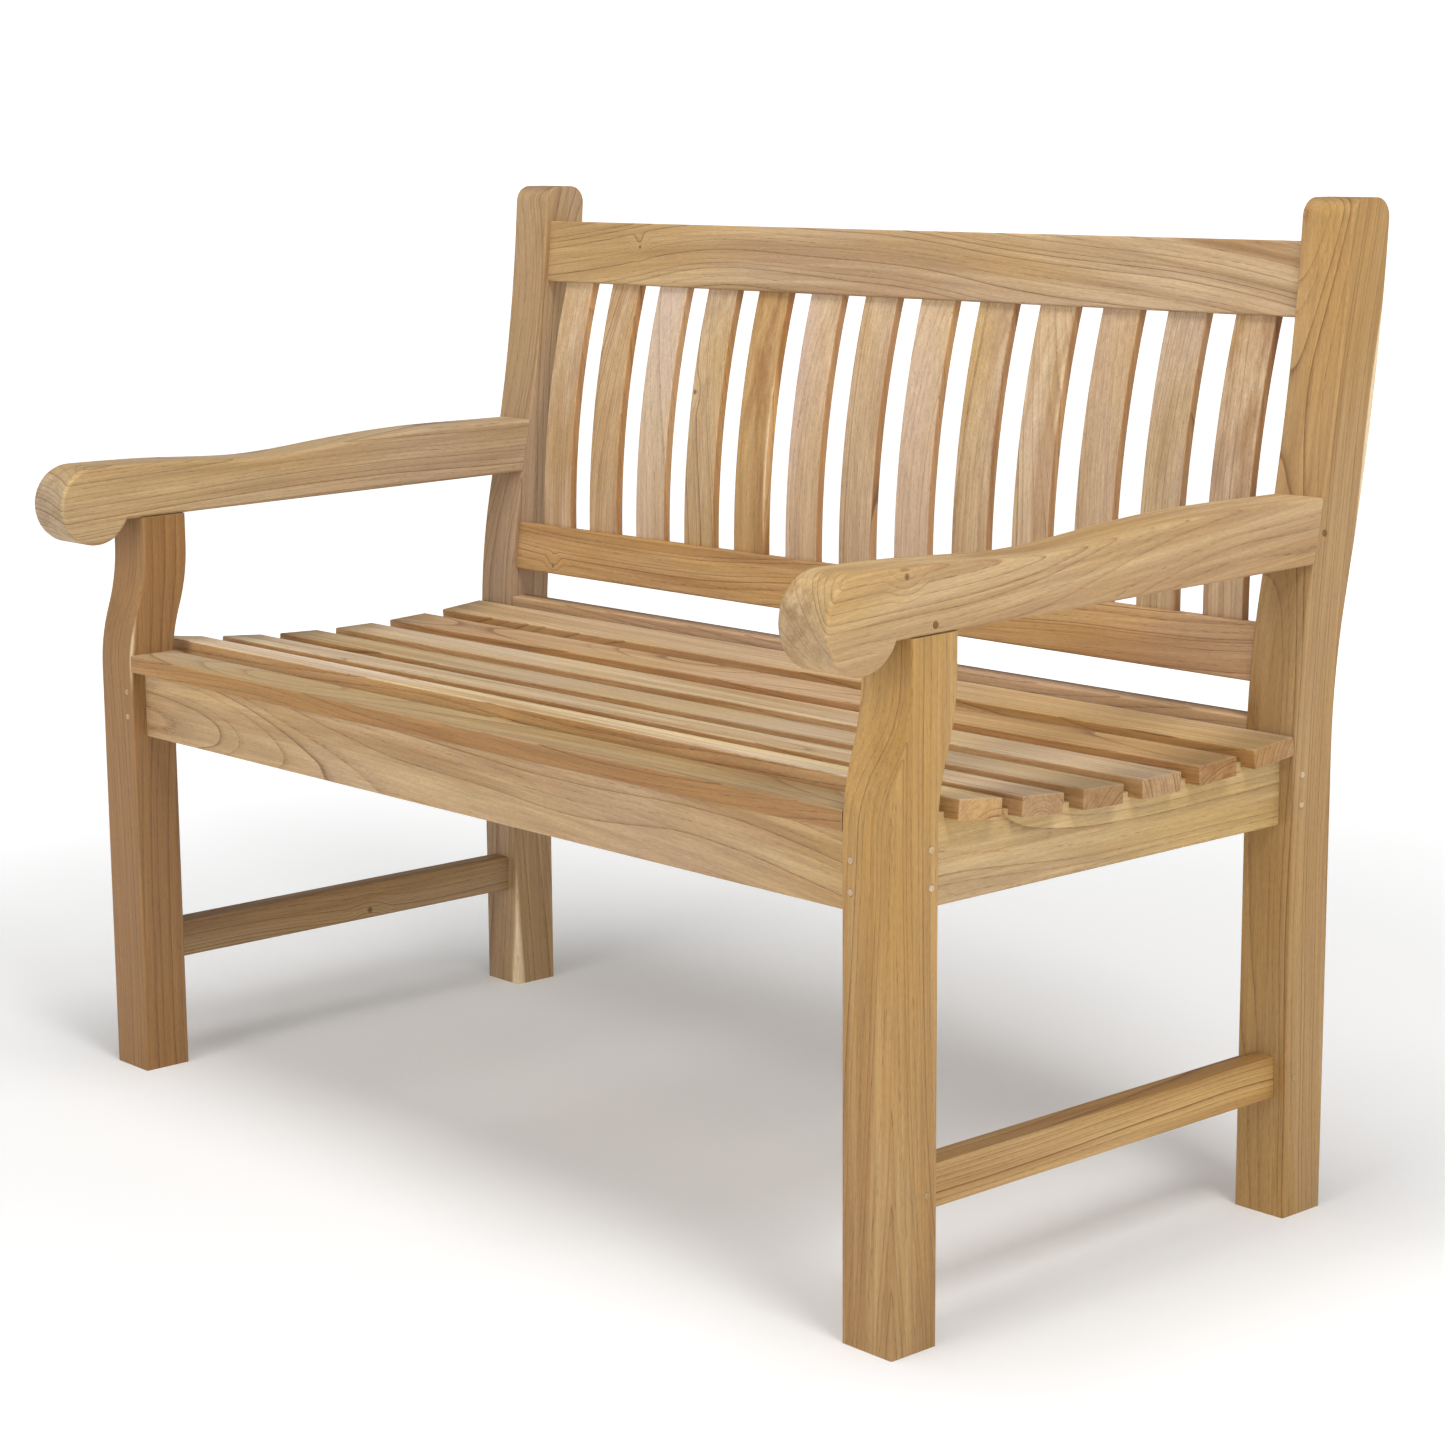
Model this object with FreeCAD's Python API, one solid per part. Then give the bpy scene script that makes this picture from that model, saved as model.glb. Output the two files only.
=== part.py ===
import FreeCAD, Part
import math
import os

# A two-seat slatted garden bench in solid teak, pegged mortise-and-tenon frame.
# Work frame: X along the seat, Y from the front legs' front face to the back, Z up
# from the ground. Everything is moved at the end so that the origin lies under the
# middle of the whole bench.

V = FreeCAD.Vector
AXIS_X = V(1, 0, 0)

# ---- overall sizes -------------------------------------------------------------
overall_width = 1200.0
overall_height = 939.0
foot_depth = 571.0          # front legs' front face to back legs' rear face, at the ground
arm_nose_reach = 74.0       # how far the arms reach in front of the front legs

# ---- front legs ----------------------------------------------------------------
front_leg_width = 59.0
front_leg_depth = 53.0
leg_sweep = 21.5            # how far the leg swings back on its way up to the arm
sweep_start = 440.0
sweep_end = 570.0

# ---- back legs, which run on upwards as the posts of the back ---------------------
back_leg_width = 57.0
back_leg_depth = 55.0
bend_start = 435.0
bend_end = 585.0
straight_end = 645.0
rake_angle = 11.5           # steepest lean of the post, degrees from upright
top_angle = 3.0             # lean left at the very top
post_top_round = 18.0

# ---- seat ----------------------------------------------------------------------
front_slat_top = 457.6
seat_slat_thickness = 18.0
seat_slat_width = 51.0
rear_slat_width = 56.0
seat_slat_count = 7
dish_radius = 1800.0        # the seat's hollow, seen from the side
dish_low_y = 320.0          # where the hollow is deepest, behind the legs' front face
dish_low_z = 448.0
notch_depth = 5.0           # how deep the slats sit in the side rails

# ---- rails and stretchers --------------------------------------------------------
rail_thickness = 26.0
front_rail_setback = 16.9
front_rail_bottom = 368.3
side_rail_inset = 16.5
side_rail_bottom = 373.0
back_rail_top = 468.0
back_rail_height = 72.0
back_rail_setback = 2.5
bearer_bottom = 395.0
stretcher_inset = 14.6
stretcher_thickness = 26.6
stretcher_height = 39.6
stretcher_bottom = 114.0

# ---- back ----------------------------------------------------------------------
back_rails_setback = 6.5    # front face of the two back rails behind the posts' front
top_rail_height = 69.0
top_rail_drop = 38.5        # bench top down to the top rail's upper edge
lower_rail_height = 54.0
lower_rail_middle = 528.0
back_slat_count = 13
back_slat_width = 48.0
back_slat_thickness = 10.0
back_slat_end_gap = 29.0
slat_behind_lower_rail = 12.0
slat_behind_top_rail = 5.5
slat_tenon = 18.0

# ---- arms ----------------------------------------------------------------------
arm_width = 57.0
nose_radius = 41.5
arm_under_front = 602.5     # height of the underside just behind the nose
arm_under_rise = 0.0189     # how much it climbs for each millimetre backwards
arm_hollow_drop = 5.0       # the dip in the top behind the nose
arm_rear_rise = 12.0        # how far the rear of the top stands above the nose
arm_edge = 4.0

# ---- joints --------------------------------------------------------------------
fit = 0.2                   # clearance on each side of a tenon, a peg or a slat
end_gap = 1.0               # space left at the bottom of a mortise
curve_gap = 0.1             # where a piece is scribed to the curve of a leg or a post
tenon_thickness = 10.0
tenon_shoulder = 12.0
long_tenon = 28.0
short_tenon = 18.0
stub_tenon = 12.0
peg_diameter = 6.0
peg_proud = 0.3
dowel_in_slat = 11.0
dowel_in_rail = 19.0
edge_round = 2.0
slat_round = 1.5
slat_end_round = 1.0

# ---- values that follow ----------------------------------------------------------
half_width = overall_width / 2
front_inner = half_width - front_leg_width
back_inner = half_width - back_leg_width
post_front_y = foot_depth - back_leg_depth
slat_bottom = front_slat_top - seat_slat_thickness
top_rail_middle = overall_height - top_rail_drop - top_rail_height / 2
front_rail_back = front_rail_setback + rail_thickness
back_rail_front = post_front_y + back_rail_setback
arm_inner = half_width - arm_width
nose_y = nose_radius - arm_nose_reach
nose_top = arm_under_front + 58.5
nose_z = nose_top - nose_radius


# ---- small helpers ---------------------------------------------------------------
def box(x0, x1, y0, y1, z0, z1):
    """A block between two corners."""
    return Part.makeBox(x1 - x0, y1 - y0, z1 - z0, V(x0, y0, z0))


def peg(start, end, diameter=peg_diameter):
    """A round peg between two points."""
    along = end - start
    return Part.makeCylinder(diameter / 2, along.Length, start, along)


def peg_hole(start, end):
    """The hole for a peg, a little wider and no longer at the blind end."""
    return peg(start, end, peg_diameter + 2 * fit)


def prism(edges, x0, x1):
    """Solid drawn as a closed outline in the side view, between two X planes."""
    face = Part.Face(Part.Wire(Part.__sortEdges__(edges)))
    face.translate(V(x0, 0, 0))
    return face.extrude(V(x1 - x0, 0, 0))


def line(a, b):
    """Straight edge between two (y, z) points."""
    return Part.LineSegment(V(0, a[0], a[1]), V(0, b[0], b[1])).toShape()


def arc(a, b, c):
    """Arc edge through three (y, z) points."""
    return Part.Arc(V(0, a[0], a[1]), V(0, b[0], b[1]), V(0, c[0], c[1])).toShape()


def mirrored(shape):
    """The same shape on the other side of the bench."""
    return shape.mirror(V(0, 0, 0), AXIS_X)


def round_long_edges(shape, radius, direction, shortest):
    """Ease the straight edges that run one way."""
    chosen = []
    for edge in shape.Edges:
        if edge.Length < shortest or edge.Curve.TypeId != "Part::GeomLine":
            continue
        if abs(edge.tangentAt(edge.FirstParameter).dot(direction)) > 0.999:
            chosen.append(edge)
    return shape.makeFillet(radius, chosen)


def round_outline(shape, radius, x_planes, keep):
    """Ease the outline edges lying in the given X planes; keep(edge) picks them."""
    chosen = []
    for edge in shape.Edges:
        xs = [v.X for v in edge.Vertexes]
        in_plane = any(all(abs(x - plane) < 0.01 for x in xs) for plane in x_planes)
        if in_plane and keep(edge):
            chosen.append(edge)
    return shape.makeFillet(radius, chosen)


def any_edge(edge):
    """Picks every edge."""
    return True


def is_upright(edge):
    """True for an outline edge that climbs more than it runs sideways."""
    low = edge.BoundBox
    return low.ZLength > low.YLength


# ---- curves shared by several pieces ----------------------------------------------
def sin_deg(angle):
    return math.sin(math.radians(angle))


def cos_deg(angle):
    return math.cos(math.radians(angle))


bend_radius = (bend_end - bend_start) / sin_deg(rake_angle)
bend_shift = bend_radius * (1 - cos_deg(rake_angle))
straight_run = (straight_end - bend_end) * math.tan(math.radians(rake_angle))
upper_radius = (overall_height - straight_end) / (sin_deg(rake_angle) - sin_deg(top_angle))


def post_at(z):
    """Y of the post's front face at height z, and its lean there in degrees."""
    if z <= bend_start:
        return post_front_y, 0.0
    if z <= bend_end:
        lean = math.degrees(math.asin((z - bend_start) / bend_radius))
        return post_front_y + bend_radius * (1 - cos_deg(lean)), lean
    if z <= straight_end:
        climb = (z - bend_end) * math.tan(math.radians(rake_angle))
        return post_front_y + bend_shift + climb, rake_angle
    lean = math.degrees(math.asin(sin_deg(rake_angle) - (z - straight_end) / upper_radius))
    shift = bend_shift + straight_run + upper_radius * (cos_deg(lean) - cos_deg(rake_angle))
    return post_front_y + shift, lean


def post_point(z, depth):
    """Point on the post at a depth measured square to its front face."""
    y, lean = post_at(z)
    return (y + depth * cos_deg(lean), z - depth * sin_deg(lean))


def seat_height(y):
    """Height of the dished seat surface."""
    return dish_low_z + dish_radius - math.sqrt(dish_radius ** 2 - (y - dish_low_y) ** 2)


def seat_tilt(y):
    """Slope of the seat surface in degrees, rising towards the back."""
    return math.degrees(math.asin((y - dish_low_y) / dish_radius))


def arm_under(y):
    """Height of the arm's underside."""
    return arm_under_front + arm_under_rise * y


# ---- seat slats --------------------------------------------------------------------
def seat_slat_places():
    """Middle of each dished slat (y), its tilt and its width, front to back."""
    tilt = seat_tilt(post_front_y - rear_slat_width / 2)
    lean_back = seat_slat_thickness * sin_deg(tilt)
    last = post_front_y - fit - rear_slat_width / 2 * cos_deg(tilt) - lean_back
    dished = seat_slat_count - 2
    free = last - rear_slat_width / 2 - front_leg_depth - dished * seat_slat_width
    gap = free / (dished + 1)
    places = []
    for i in range(dished):
        y = front_leg_depth + gap + seat_slat_width / 2 + i * (seat_slat_width + gap)
        places.append((y, seat_tilt(y), seat_slat_width))
    places.append((last, tilt, rear_slat_width))
    return places


def seat_slat_block(place, grow=0.0, lift=0.0):
    """One slat as a plain block; grow and lift turn it into the cutter of its notch."""
    y, tilt, width = place
    half = width / 2 + grow
    slat = box(-half_width, half_width, -half, half, -seat_slat_thickness, lift)
    slat.rotate(V(0, 0, 0), AXIS_X, tilt)
    slat.translate(V(0, y, seat_height(y)))
    return slat


def front_slat_block():
    """The front slat, which fills the space between the two front legs."""
    return box(-front_inner, front_inner, 0, front_leg_depth, slat_bottom, front_slat_top)


def dowel_line(place, x, below, above):
    """Ends of a slat dowel: square to the slat, centred on it."""
    y, tilt, _ = place
    square = V(0, -sin_deg(tilt), cos_deg(tilt))
    joint = V(x, y, seat_height(y)) - square * seat_slat_thickness
    return joint - square * below, joint + square * above


def dowel_x():
    """The X of the dowels: both side rails and the centre bearer."""
    side = half_width - side_rail_inset - rail_thickness / 2
    return [-side, 0.0, side]


def front_dowel_lines():
    """Dowels between the front slat and the front rail."""
    y = front_rail_setback + rail_thickness / 2
    reach = front_inner - 90
    lines = []
    for x in (-reach, 0.0, reach):
        lines.append((V(x, y, slat_bottom - dowel_in_rail), V(x, y, slat_bottom + dowel_in_slat)))
    return lines


def slat_dowel_lines():
    """Dowels between the dished slats and what carries them."""
    lines = []
    for place in seat_slat_places():
        for x in dowel_x():
            lines.append(dowel_line(place, x, dowel_in_rail, dowel_in_slat))
    return lines


def cut_dowels(shape, lines):
    """Drill a shape for the dowels that pass through it."""
    for start, end in lines:
        step = end - start
        step.normalize()
        shape = shape.cut(peg_hole(start - step * fit, end + step * fit))
    return shape


def make_front_slat():
    slat = round_long_edges(front_slat_block(), slat_round, AXIS_X, 100)
    return cut_dowels(slat, front_dowel_lines())


def make_seat_slat(place):
    slat = round_long_edges(seat_slat_block(place), slat_round, AXIS_X, 100)
    slat = round_outline(slat, slat_end_round, (-half_width, half_width), any_edge)
    lines = [dowel_line(place, x, dowel_in_rail, dowel_in_slat) for x in dowel_x()]
    return cut_dowels(slat, lines)


# ---- tenons ------------------------------------------------------------------------
def tenon_x(x0, length, y_middle, z0, z1, grow=0.0, deeper=0.0):
    """Tenon pointing along X from a shoulder; negative length points left."""
    end = x0 + length + math.copysign(deeper, length)
    half = tenon_thickness / 2 + grow
    return box(min(x0, end), max(x0, end), y_middle - half, y_middle + half, z0 - grow, z1 + grow)


def tenon_y(y0, length, x_middle, z0, z1, grow=0.0, deeper=0.0):
    """Tenon pointing along Y from a shoulder."""
    end = y0 + length + math.copysign(deeper, length)
    half = tenon_thickness / 2 + grow
    return box(x_middle - half, x_middle + half, min(y0, end), max(y0, end), z0 - grow, z1 + grow)


# ---- front rail, back rail and the centre bearer between them -------------------------
front_rail_y = front_rail_setback + rail_thickness / 2
front_tenon_z = (front_rail_bottom + tenon_shoulder, slat_bottom - tenon_shoulder)
back_rail_y = back_rail_front + rail_thickness / 2
back_rail_bottom = back_rail_top - back_rail_height
back_tenon_z = (back_rail_bottom + tenon_shoulder, back_rail_top - tenon_shoulder)
bearer_tenon_z = (bearer_bottom + 4, slat_bottom - dowel_in_rail - 3)


def front_rail_tenon(grow=0.0, deeper=0.0):
    return tenon_x(front_inner, short_tenon, front_rail_y, *front_tenon_z, grow, deeper)


def back_rail_tenon(grow=0.0, deeper=0.0):
    return tenon_x(back_inner, short_tenon, back_rail_y, *back_tenon_z, grow, deeper)


def bearer_tenon(y0, length, grow=0.0, deeper=0.0):
    return tenon_y(y0, length, 0.0, *bearer_tenon_z, grow, deeper)


def make_front_rail():
    rail = box(-front_inner, front_inner, front_rail_setback, front_rail_back,
               front_rail_bottom, slat_bottom)
    rail = round_long_edges(rail, edge_round, AXIS_X, 100)
    tenon = front_rail_tenon()
    rail = rail.fuse([tenon, mirrored(tenon)])
    rail = rail.cut(bearer_tenon(front_rail_back, -stub_tenon, fit, end_gap))
    rail = cut_dowels(rail, front_dowel_lines())
    return drilled(rail, front_rail_pegs())


def make_back_rail():
    rail = box(-back_inner, back_inner, back_rail_front, back_rail_front + rail_thickness,
               back_rail_bottom, back_rail_top)
    rail = round_long_edges(rail, edge_round, AXIS_X, 100)
    tenon = back_rail_tenon()
    rail = rail.fuse([tenon, mirrored(tenon)])
    rail = rail.cut(bearer_tenon(back_rail_front, stub_tenon, fit, end_gap))
    return drilled(rail, back_rail_pegs())


def seat_carrier(x0, x1, y0, y1, bottom):
    """A rail from front to back whose top follows the dish and is notched for the slats."""
    def top(y):
        return seat_height(y) - seat_slat_thickness + notch_depth

    middle = (y0 + y1) / 2
    edges = [line((y0, bottom), (y1, bottom)), line((y1, bottom), (y1, top(y1))),
             arc((y1, top(y1)), (middle, top(middle)), (y0, top(y0))), line((y0, top(y0)), (y0, bottom))]
    rail = prism(edges, x0, x1)
    rail = round_long_edges(rail, edge_round, V(0, 1, 0), 100)
    for place in seat_slat_places():
        rail = rail.cut(seat_slat_block(place, grow=fit, lift=2 * seat_slat_thickness))
    return rail


def make_centre_bearer():
    half = rail_thickness / 2
    bearer = seat_carrier(-half, half, front_rail_back, back_rail_front, bearer_bottom)
    bearer = bearer.cut(box(-half, half, 0, front_leg_depth + fit, slat_bottom, 2 * front_slat_top))
    bearer = bearer.fuse([bearer_tenon(front_rail_back, -stub_tenon),
                          bearer_tenon(back_rail_front, stub_tenon)])
    return cut_dowels(bearer, slat_dowel_lines())


# ---- side rails and stretchers -------------------------------------------------------
side_rail_x = half_width - side_rail_inset - rail_thickness / 2
side_tenon_z = (side_rail_bottom + tenon_shoulder, side_rail_bottom + 62)
stretcher_x = half_width - stretcher_inset - stretcher_thickness / 2
stretcher_z = stretcher_bottom + stretcher_height / 2
stretcher_tenon_z = (stretcher_bottom + 7, stretcher_bottom + stretcher_height - 7)


def side_rail_tenons(grow=0.0, deeper=0.0):
    return [tenon_y(front_leg_depth, -long_tenon, side_rail_x, *side_tenon_z, grow, deeper),
            tenon_y(post_front_y, long_tenon, side_rail_x, *side_tenon_z, grow, deeper)]


def stretcher_tenons(grow=0.0, deeper=0.0):
    return [tenon_y(front_leg_depth, -long_tenon, stretcher_x, *stretcher_tenon_z, grow, deeper),
            tenon_y(post_front_y, long_tenon, stretcher_x, *stretcher_tenon_z, grow, deeper)]


def make_side_rail():
    half = rail_thickness / 2
    rail = seat_carrier(side_rail_x - half, side_rail_x + half, front_leg_depth, post_front_y,
                        side_rail_bottom)
    swept = box(front_inner, half_width, 0, 2 * front_leg_depth, sweep_start, sweep_end)
    swept = swept.common(prism(front_leg_outline(), front_inner, half_width))
    swept.translate(V(0, curve_gap, 0))
    rail = rail.cut(swept)
    rail = rail.fuse(side_rail_tenons())
    rail = cut_dowels(rail, slat_dowel_lines())
    return drilled(rail, side_rail_pegs())


def make_stretcher():
    half = stretcher_thickness / 2
    bar = box(stretcher_x - half, stretcher_x + half, front_leg_depth, post_front_y,
              stretcher_bottom, stretcher_bottom + stretcher_height)
    bar = round_long_edges(bar, edge_round, V(0, 1, 0), 100)
    bar = bar.fuse(stretcher_tenons())
    return drilled(bar, stretcher_pegs())


# ---- arms ----------------------------------------------------------------------------
leg_top_tenon = (leg_sweep + 12, leg_sweep + front_leg_depth - 12)
arm_tenon_z = (arm_under_front + 26, arm_under_front + 50)
arm_x = half_width - arm_width / 2


def leg_tenon(grow=0.0, deeper=0.0):
    """Tenon on the front leg's top, standing in the arm."""
    y0, y1 = leg_top_tenon
    return box(arm_x - 12 - grow, arm_x + 12 + grow, y0 - grow, y1 + grow,
               arm_under(y0) - 8, arm_under(y0) + 36 + deeper)


def arm_tenon(grow=0.0, deeper=0.0):
    """Tenon on the arm's rear end, reaching into the post; it starts inside the arm."""
    start = post_at(arm_tenon_z[1])[0] - 40
    end = post_at(arm_tenon_z[0])[0] + 26
    return tenon_y(start, end - start, arm_x, *arm_tenon_z, grow, deeper)


def arm_outline():
    """Side view of the arm: scroll nose, wavy top, straight underside."""
    tilt = math.atan(arm_under_rise)
    below = (nose_z - arm_under(nose_y)) * math.cos(tilt)
    notch_angle = tilt - math.asin(below / nose_radius)
    notch = (nose_y + nose_radius * math.cos(notch_angle),
             nose_z + nose_radius * math.sin(notch_angle))
    far = notch_angle - math.radians(135)
    low = (nose_y + nose_radius * math.cos(far), nose_z + nose_radius * math.sin(far))
    crown = (nose_y, nose_top)
    rear_y = post_front_y + back_leg_depth
    reach = rear_y - nose_y
    heights = [(0.16, -1.0), (0.35, -arm_hollow_drop), (0.52, 3.0), (0.7, arm_rear_rise - 1.5),
               (1.0, arm_rear_rise)]
    points = [V(0, *crown)]
    for share, rise in heights:
        points.append(V(0, nose_y + share * reach, nose_top + rise))
    top = Part.BSplineCurve()
    top.interpolate(points, InitialTangent=V(0, 1, 0), FinalTangent=V(0, 1, 0.02))
    rear_top = (rear_y, nose_top + arm_rear_rise)
    rear_low = (rear_y, arm_under(rear_y))
    return [arc(notch, low, crown), top.toShape(), line(rear_top, rear_low), line(rear_low, notch)]


def make_arm():
    arm = prism(arm_outline(), arm_inner, half_width)

    def shaped(edge):
        return edge.BoundBox.YMin < post_front_y

    arm = round_outline(arm, arm_edge, (arm_inner, half_width), shaped)
    post = prism(post_outline(front=-curve_gap), arm_inner - 1, half_width + 1)
    behind = box(arm_inner - 1, half_width + 1, foot_depth, foot_depth + 200, 0, overall_height)
    arm = arm.cut([post, behind])
    arm = arm.fuse(arm_tenon())
    arm = arm.cut(leg_tenon(fit, end_gap))
    return drilled(arm, arm_pegs())


# ---- legs ----------------------------------------------------------------------------
def front_leg_outline():
    """Side view of the front leg: straight, then an easy S up to the arm."""
    half_rise = (sweep_end - sweep_start) / 2
    half_shift = leg_sweep / 2
    radius = (half_rise ** 2 + half_shift ** 2) / (2 * half_shift)
    quarter = math.asin(half_rise / radius) / 2
    dy = radius * (1 - math.cos(quarter))
    dz = radius * math.sin(quarter)

    def curve(y):
        low = (y, sweep_start)
        first = (y + dy, sweep_start + dz)
        middle = (y + half_shift, sweep_start + half_rise)
        second = (y + leg_sweep - dy, sweep_end - dz)
        high = (y + leg_sweep, sweep_end)
        top = (y + leg_sweep, arm_under(y + leg_sweep))
        return [line((y, 0), low), arc(low, first, middle), arc(middle, second, high),
                line(high, top)], top

    front, front_top = curve(0.0)
    rear, rear_top = curve(front_leg_depth)
    return front + rear + [line((0, 0), (front_leg_depth, 0)), line(front_top, rear_top)]


def make_front_leg():
    leg = prism(front_leg_outline(), front_inner, half_width)
    leg = round_outline(leg, edge_round, (front_inner, half_width), is_upright)
    leg = leg.fuse(leg_tenon())
    cutters = [front_rail_tenon(fit, end_gap)]
    cutters.append(side_rail_tenons(fit, end_gap)[0])
    cutters.append(stretcher_tenons(fit, end_gap)[0])
    leg = leg.cut(cutters)
    return drilled(leg, front_rail_pegs() + side_rail_pegs() + stretcher_pegs() + arm_pegs())


def post_outline(front=0.0):
    """Side view of the back leg: upright, bent back, straight, then easing upright again."""
    zs = [bend_start, bend_end, straight_end, overall_height]

    def side(depth):
        ends = [post_point(z, depth) for z in zs]
        first = post_point((zs[0] + zs[1]) / 2, depth)
        second = post_point((zs[2] + zs[3]) / 2, depth)
        foot = (post_front_y + depth, 0)
        return [line(foot, ends[0]), arc(ends[0], first, ends[1]), line(ends[1], ends[2]),
                arc(ends[2], second, ends[3])], ends[3]

    front_edges, front_top = side(front)
    rear_edges, rear_top = side(back_leg_depth)
    flat_top = (rear_top[0] + (overall_height - rear_top[1]) * math.tan(math.radians(top_angle)),
                overall_height)
    bottom = line((post_front_y + front, 0), (foot_depth, 0))
    top = [line(rear_top, flat_top), line(front_top, flat_top)]
    return front_edges + rear_edges + top + [bottom]


def make_back_leg():
    leg = prism(post_outline(), back_inner, half_width)
    crown = []
    for edge in leg.Edges:
        across = abs(edge.tangentAt(edge.FirstParameter).x) > 0.999
        if across and edge.BoundBox.ZMin > overall_height - 0.01:
            crown.append(edge)
    leg = leg.makeFillet(post_top_round, crown)
    leg = round_outline(leg, edge_round, (back_inner, half_width), is_upright)
    cutters = [back_rail_tenon(fit, end_gap)]
    cutters.append(side_rail_tenons(fit, end_gap)[1])
    cutters.append(stretcher_tenons(fit, end_gap)[1])
    cutters.append(arm_tenon(fit, end_gap))
    cutters.append(back_frame_tenon(top_rail_middle, top_rail_height, fit, end_gap))
    cutters.append(back_frame_tenon(lower_rail_middle, lower_rail_height, fit, end_gap))
    leg = leg.cut(cutters)
    pegs = side_rail_pegs() + stretcher_pegs() + back_rail_pegs() + arm_pegs()
    return drilled(leg, pegs + back_frame_pegs())


# ---- the back: two leaning rails and the curved slats between them ----------------------
def on_post(shape, middle):
    """Place a shape drawn around the post's front face at the origin onto the post."""
    y, lean = post_at(middle)
    shape.rotate(V(0, 0, 0), AXIS_X, -lean)
    shape.translate(V(0, y, middle))
    return shape


def back_frame_tenon(middle, height, grow=0.0, deeper=0.0):
    """Right-hand tenon of a back rail, leaning with the post."""
    y = back_rails_setback + rail_thickness / 2
    half = height / 2 - tenon_shoulder
    return on_post(tenon_x(back_inner, short_tenon, y, -half, half, grow, deeper), middle)


def back_slat_curve():
    """Front face of the slats: upright at the lower rail, arching back to the top rail."""
    low_z = lower_rail_middle + lower_rail_height / 2
    high_z = top_rail_middle - top_rail_height / 2
    low_y = post_at(low_z)[0] + back_rails_setback + slat_behind_lower_rail
    high_y = post_at(high_z)[0] + back_rails_setback + slat_behind_top_rail
    rise = high_z - low_z
    radius = (rise ** 2 + (high_y - low_y) ** 2) / (2 * (high_y - low_y))
    return low_y, low_z, high_z, radius


def back_slat_block(x, grow=0.0, deeper=0.0):
    """One curved slat with its ends in both rails; grow turns it into the mortise cutter."""
    low_y, low_z, high_z, radius = back_slat_curve()
    top_turn = math.asin((high_z - low_z) / radius) + (slat_tenon + deeper) / radius
    z_foot = low_z - slat_tenon - deeper

    def side(depth):
        r = radius - depth
        centre = low_y + radius

        def point(turn):
            return (centre - r * math.cos(turn), low_z + r * math.sin(turn))

        return point(0), point(top_turn / 2), point(top_turn)

    front = side(-grow)
    rear = side(back_slat_thickness + grow)
    edges = [arc(*front), arc(*rear), line(front[2], rear[2])]
    edges += [line(front[0], (front[0][0], z_foot)), line(rear[0], (rear[0][0], z_foot))]
    edges.append(line((front[0][0], z_foot), (rear[0][0], z_foot)))
    half = back_slat_width / 2 + grow
    return prism(edges, x - half, x + half)


def back_slat_places():
    """X of each back slat, left to right."""
    reach = back_inner - back_slat_end_gap - back_slat_width / 2
    pitch = 2 * reach / (back_slat_count - 1)
    return [-reach + i * pitch for i in range(back_slat_count)]


def make_back_slat(x):
    slat = back_slat_block(x)
    half = back_slat_width / 2
    return round_outline(slat, slat_round, (x - half, x + half), is_upright)


def make_back_frame_rail(middle, height):
    half = height / 2
    rail = box(-back_inner, back_inner, back_rails_setback, back_rails_setback + rail_thickness,
               -half, half)
    rail = on_post(round_long_edges(rail, edge_round, AXIS_X, 100), middle)
    tenon = back_frame_tenon(middle, height)
    rail = rail.fuse([tenon, mirrored(tenon)])
    for x in back_slat_places():
        rail = rail.cut(back_slat_block(x, fit, end_gap))
    return drilled(rail, back_frame_pegs())


# ---- pegs on the right-hand side; the left ones are their mirror images ------------------
def pegs_in_front(x, y, length, heights):
    """Pegs driven backwards from a front face."""
    return [(V(x, y - peg_proud, z), V(x, y + length, z)) for z in heights]


def pegs_in_side(y, length, heights):
    """Pegs driven inwards from the outer face."""
    return [(V(half_width + peg_proud, y, z), V(half_width - length, y, z)) for z in heights]


def front_rail_pegs():
    middle = sum(front_tenon_z) / 2
    return pegs_in_front(front_inner + 10.5, 0.0, 40.0, (middle + 13.3, middle - 13.3))


def side_rail_pegs():
    front = pegs_in_side(front_leg_depth - 8.5, 36.0, (side_rail_bottom + 54, side_rail_bottom + 22))
    rear = pegs_in_side(post_front_y + 12.0, 36.0, (side_rail_bottom + 48, side_rail_bottom + 20))
    return front + rear


def stretcher_pegs():
    front = pegs_in_side(front_leg_depth - 12.0, 36.0, (stretcher_z,))
    rear = pegs_in_side(post_front_y + 12.5, 36.0, (stretcher_z,))
    return front + rear


def back_rail_pegs():
    """Two pegs from behind through each tenon of the back seat rail."""
    x = back_inner + 9.0
    y = foot_depth
    middle = sum(back_tenon_z) / 2
    return [(V(x, y + peg_proud, z), V(x, y - 42, z)) for z in (middle + 12, middle - 12)]


def back_frame_pegs():
    """One peg from behind through each tenon of the two back rails."""
    pegs = []
    for middle in (top_rail_middle, lower_rail_middle):
        y, lean = post_at(middle)
        inwards = V(0, -cos_deg(lean), sin_deg(lean))
        face = V(back_inner + 9.0, y, middle) - inwards * back_leg_depth
        pegs.append((face - inwards * peg_proud, face + inwards * 44.0))
    return pegs


def arm_pegs():
    """One peg through the leg's tenon, one through the arm's own tenon in the post."""
    leg_y = sum(leg_top_tenon) / 2
    rear_z = sum(arm_tenon_z) / 2
    rear_y = post_at(rear_z)[0] + 9.0
    return pegs_in_side(leg_y, 48.0, (arm_under(leg_y) + 8.0,)) + pegs_in_side(rear_y, 42.0, (rear_z,))


def drilled(shape, pegs):
    """Drill a shape for the right-hand pegs and for their mirror images."""
    reach = shape.BoundBox
    for start, end in pegs:
        hole = peg_hole(start, end)
        for cutter in (hole, mirrored(hole)):
            if reach.intersect(cutter.BoundBox):
                shape = shape.cut(cutter)
    return shape


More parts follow.
